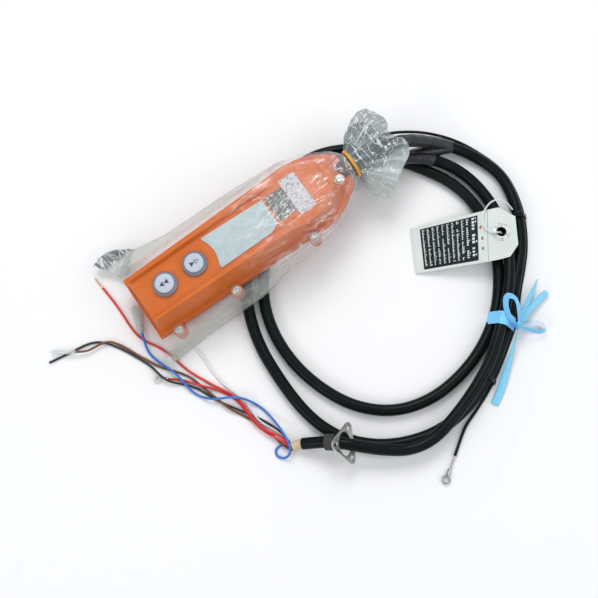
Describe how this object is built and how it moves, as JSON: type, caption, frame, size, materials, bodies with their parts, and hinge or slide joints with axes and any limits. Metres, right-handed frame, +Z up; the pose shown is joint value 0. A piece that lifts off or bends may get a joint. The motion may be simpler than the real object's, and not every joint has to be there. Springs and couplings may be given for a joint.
{
  "type": "pendant control station",
  "caption": "Push-button pendant control station with its coiled cable, flange plate, tag and stripped core ends, in a clear bag.",
  "frame": {"origin": "bottom centre of the bagged pendant, on the surface that it and its cable lie on", "axes": "+Y along the pendant from its button end towards its cable end, +X to its right seen from the buttons' side, +Z up"},
  "size_m": [0.3654, 0.4912, 0.0867],
  "materials": {
    "orange_plastic": "moulded, fine texture",
    "seal_rubber": "plain",
    "plated_steel": "plain",
    "silver_plastic": "plain",
    "cap_plastic": "plain",
    "dark_plastic": "plain",
    "contact_brass": "plain",
    "spring_steel": "plain",
    "cable_black": "satin black rubber",
    "sheath_tan": "plain",
    "core_insulation": "plain",
    "core_black": "plain",
    "core_brown": "plain",
    "core_red": "plain",
    "core_white": "plain",
    "core_blue": "plain",
    "grey_sleeve": "plain",
    "copper_strand": "plain",
    "tie_nylon": "plain",
    "tag_board": "plain",
    "grommet_metal": "plain",
    "clear_plastic": "plain",
    "blue_tape": "plain",
    "bag_film": "clear polyethylene film",
    "amber_rubber": "plain",
    "name_metal": "brushed plate",
    "label_grey": "plain",
    "label_white": "plain"
  },
  "bodies": {
    "station": {"bezel_nuts": "dark_plastic", "block_screws": "plated_steel", "blue_sleeve": "grey_sleeve", "brown_sleeve": "grey_sleeve", "cable_bushing": "seal_rubber", "cable_clamp": "dark_plastic", "cable_collar": "seal_rubber", "cable_inlet": "cable_black", "cable_lead": "cable_black", "cable_tail": "cable_black", "cable_ties": "tie_nylon", "cable_turns": "cable_black", "clamp_screws": "plated_steel", "contact_block": "dark_plastic", "cover_gasket": "seal_rubber", "cover_screws": "plated_steel", "dark_label": "label_grey", "fixed_contacts": "contact_brass", "front_cover": "orange_plastic", "inner_leads": "core_insulation", "inner_sheath": "sheath_tan", "lower_bezel": "silver_plastic", "lower_spring": "spring_steel", "nameplate": "name_metal", "poly_bag": "bag_film", "rear_case": "orange_plastic", "red_tip": "copper_strand", "ring_terminal": "plated_steel", "rubber_band": "amber_rubber", "screw_washers": "plated_steel", "suspension_core": "spring_steel", "suspension_eye": "spring_steel", "suspension_wire": "cable_black", "tag_loop": "clear_plastic", "tape_band": "blue_tape", "tape_knot": "blue_tape", "tape_loops": "blue_tape", "tape_tails": "blue_tape", "tape_wrap": "cable_black", "terminal_screws": "plated_steel", "upper_bezel": "silver_plastic", "upper_spring": "spring_steel", "white_label": "label_white", "wire_black": "core_black", "wire_blue": "core_blue", "wire_brown": "core_brown", "wire_red_a": "core_red", "wire_red_b": "core_red", "wire_white": "core_white"},
    "button_lower": {"lower_cap": "cap_plastic", "lower_stem": "dark_plastic", "lower_clip": "spring_steel", "lower_bridge": "contact_brass"},
    "button_upper": {"upper_cap": "cap_plastic", "upper_stem": "dark_plastic", "upper_clip": "spring_steel", "upper_bridge": "contact_brass"},
    "tag": {"tag_card": "tag_board", "tag_grommet": "grommet_metal"},
    "plate": {"flange_plate": "plated_steel"}
  },
  "joints": [
    {"name": "lower_button_travel", "type": "slide", "parent": "station", "child": "button_lower", "axis": [0, 0.1219, -0.9925], "range_m": [0, 0.004], "stiffness_N_per_m": 800, "springref_m": -0.004, "deforming": ["lower_spring"]},
    {"name": "upper_button_travel", "type": "slide", "parent": "station", "child": "button_upper", "axis": [0, 0.1219, -0.9925], "range_m": [0, 0.004], "stiffness_N_per_m": 800, "springref_m": -0.004, "deforming": ["upper_spring"]},
    {"name": "tag_swivel", "type": "hinge", "parent": "station", "child": "tag", "pos_m": [0.1329, 0.2043, 0.0203], "axis": [0, 0, 1], "range_deg": [-12, 12]},
    {"name": "flange_plate_lean", "type": "hinge", "parent": "station", "child": "plate", "pos_m": [0.22042, -0.03833, 0.01232], "axis": [-0.8741, 0.4646, 0.1419], "range_deg": [0, 5]}
  ]
}
